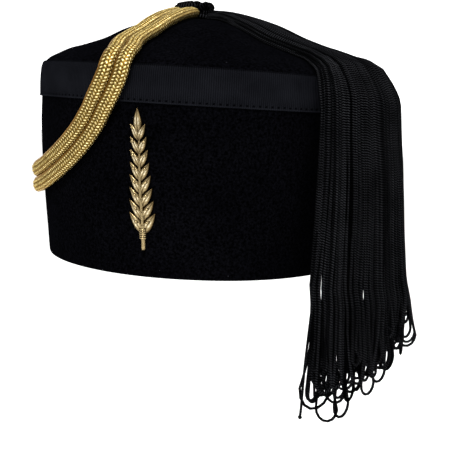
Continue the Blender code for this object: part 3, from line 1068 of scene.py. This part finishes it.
def leaf_mesh(foot, side, lean, long, half_width, rise):
    """A closed leaf with a flat back, as its points, faces and relief."""
    rows, columns = LEAF_GRID
    t = np.linspace(0.0, 1.0, rows)[:, None]
    s = np.linspace(-1.0, 1.0, columns)[None, :]
    full = np.maximum(np.sin(math.pi * t**LEAF_POWER) ** LEAF_POWER, LEAF_LEAST)
    width = half_width * full * (1.0 - LEAF_NARROWS * t)
    up_leaf = t * long
    over_leaf = s * width - LEAF_BEND * side * np.sin(math.pi * t)
    cos, sin = math.cos(lean), math.sin(lean) * side
    across = (up_leaf * sin + over_leaf * cos).ravel()
    along = (foot + up_leaf * cos - over_leaf * sin).ravel()
    height = leaf_relief(t, s).ravel()
    count = height.size
    front = badge_points(across, along, rise + LEAF_THICK[0] + LEAF_THICK[1] * height)
    back = badge_points(across, along, np.full(count, rise))
    faces = grid_faces(rows, columns, False)
    faces += [(count + a, count + d, count + c, count + b) for a, b, c, d in faces]
    rim = grid_rim(rows, columns)
    faces += [(b, a, count + a, count + b) for a, b in zip(rim, rim[1:] + rim[:1])]
    # a leaf's back has relief 0, which gives it the darkest painted shade
    relief = np.concatenate([np.clip(height, 0.0, 1.0), np.zeros(count)])
    return np.concatenate([front, back]), faces, relief


def spray_leaves(feet, neck):
    """A pair of leaves at each foot and one at the top; each is what leaf_mesh takes."""
    leaves = []
    for pair, foot in enumerate(feet):
        size = 1.0 - LEAF_TAPER * pair
        lean = math.radians(LEAF_ANGLE - pair)
        for side in (1.0, -1.0):
            rise = LEAF_RISE * pair + (LEFT_RISE if side > 0 else 0.0)
            leaves.append((foot - LEAF_SUNK, side, lean, LEAF_LONG * size, LEAF_HALF_WIDTH * size, rise))
    wide, rise = TOP_LEAF
    leaves.append((neck, 1.0, 0.0, BADGE_HIGH - BADGE_LOW - neck, LEAF_HALF_WIDTH * wide, rise))
    return leaves


def add_stem(tubes, neck):
    """The stem, and the rings that bind it at its foot."""
    along = np.linspace(0.0, neck + STEM_PAST, STEM_POINTS)
    sway, wave = STEM_SWAY
    stem = badge_points(sway * np.sin(along / wave), along, np.full(STEM_POINTS, STEM_PROUD))
    tubes.add(stem, np.linspace(*STEM_RADII, STEM_POINTS))
    ring = np.linspace(-math.pi, math.pi, BINDING_POINTS)
    across = BINDING_HALF[0] * np.sin(ring)
    proud = STEM_PROUD + BINDING_HALF[1] * np.cos(ring)
    for foot in np.arange(*BINDING_FEET):
        tubes.add(badge_points(across, np.full(BINDING_POINTS, foot), proud), BINDING_RADIUS)


def add_berry(tubes, foot, side):
    """A berry and its stalk, above the foot of one leaf."""
    across = side * STALK_REACH * STALK_SLOPE[0]
    along = foot + STALK_UP + STALK_REACH * STALK_SLOPE[1]
    tubes.add(badge_points(across, along, STALK_PROUD), STALK_RADIUS)
    aside, up, proud = BERRY_AT
    middle = badge_points(np.array([side * aside]), np.array([foot + up]), np.array([proud]))
    turn = np.linspace(0.0, math.pi, BERRY_POINTS)
    heights = np.outer(-BERRY_RADIUS * np.cos(turn), (0.0, 0.0, 1.0))
    tubes.add(middle + heights, BERRY_RADIUS * np.sin(turn) + BERRY_TIP)


def build_badge():
    """A gilt spray, soldered up as one piece: a stem with pairs of leaves, and berries between."""
    feet = [STEM_FOOT + pair * LEAF_PITCH for pair in range(LEAF_PAIRS)]
    neck = feet[-1] + NECK_UP
    tubes = Tubes(SPRAY_SIDES)
    add_stem(tubes, neck)
    for foot in feet[:-1]:
        for side in (-1.0, 1.0):
            add_berry(tubes, foot, side)
    parts = [leaf_mesh(*leaf) for leaf in spray_leaves(feet, neck)]
    parts.append((np.concatenate(tubes.points), tubes.faces, np.full(tubes.count, TUBES_RELIEF)))
    faces = []
    base = 0
    for part_points, part_faces, _ in parts:
        faces += [tuple(base + i for i in face) for face in part_faces]
        base += len(part_points)
    points = np.concatenate([part[0] for part in parts])
    relief = np.concatenate([part[2] for part in parts])
    mesh_piece("gilt_spray", "leaf_badge", "gilt_metal", points, faces, relief=relief)


# ==== stage
def turned(a, b, degrees):
    """Two square directions turned together, a towards b."""
    angle = math.radians(degrees)
    return a * math.cos(angle) + b * math.sin(angle), b * math.cos(angle) - a * math.sin(angle)


def build_camera():
    """The camera of the photo: turned to the wearer's left, level with the band, a little rolled."""
    up = Vector((0.0, 0.0, 1.0))
    back, right = turned(Vector((0.0, -1.0, 0.0)), Vector((1.0, 0.0, 0.0)), CAMERA_AZIMUTH)
    place = back * CAMERA_DISTANCE + up * CAMERA_HEIGHT
    look, right = turned(-back, right, CAMERA_RIGHT)
    look, up = turned(look, up, -CAMERA_DOWN)
    right, up = turned(right, up, CAMERA_ROLL)
    data = bpy.data.cameras.new("photo_camera")
    data.sensor_width = CAMERA_SENSOR
    data.lens = CAMERA_FOCAL_PX / PHOTO_PX * data.sensor_width
    camera = bpy.data.objects.new("photo_camera", data)
    axes = Matrix((right, up, -look)).transposed().to_4x4()
    camera.matrix_world = Matrix.Translation(place * MM) @ axes
    bpy.context.scene.collection.objects.link(camera)
    bpy.context.scene.camera = camera


def area_light(name, place, size, power):
    """A square light that faces the hat."""
    data = bpy.data.lights.new(name, "AREA")
    data.size = size
    data.energy = power
    light = bpy.data.objects.new(name, data)
    light.location = place
    towards = Vector(LIGHTS_TARGET) - Vector(place)
    light.rotation_euler = towards.to_track_quat("-Z", "Y").to_euler()
    bpy.context.scene.collection.objects.link(light)


def build_stage():
    """A plain pale floor, the studio and its lights."""
    shade = Shader(bpy.data.materials.new("floor_look"))
    shade.set(Roughness=0.9, Base_Color=(0.97, 0.97, 0.97, 1.0))
    level = TASSEL_END - FLOOR_DROP
    sides = ((-1, -1), (1, -1), (1, 1), (-1, 1))
    corners = [(FLOOR_REACH * x * MM, FLOOR_REACH * y * MM, level * MM) for x, y in sides]
    mesh = bpy.data.meshes.new("floor")
    mesh.from_pydata(corners, [], [(0, 1, 2, 3)])
    mesh.materials.append(shade.block)
    floor = bpy.data.objects.new("floor", mesh)
    bpy.context.scene.collection.objects.link(floor)
    build_world()
    for light in LIGHTS:
        area_light(*light)


def build_world():
    """A white studio: brightest level with the hat, and dimmer overhead."""
    shade = Shader(bpy.data.worlds.new("studio"), "Background")
    direction = shade.node("ShaderNodeTexCoord").outputs["Generated"]
    height = shade.node("ShaderNodeSeparateXYZ", {"Vector": direction}).outputs["Z"]
    shade.set(Color=shade.greys(height, *STUDIO_TONES), Strength=STUDIO_STRENGTH)
    bpy.context.scene.world = shade.block
    bpy.context.scene.view_settings.view_transform = "Standard"


build_camera()
MATERIALS = {slot: make_material(slot) for slot in LOOKS}
build_gold_cord("gold_plait_upper", "gold_cord_upper", 1.0)
build_gold_cord("gold_plait_lower", "gold_cord_lower", -1.0)
build_felt()
build_band()
build_knot()
build_tassel()
build_badge()
build_stage()
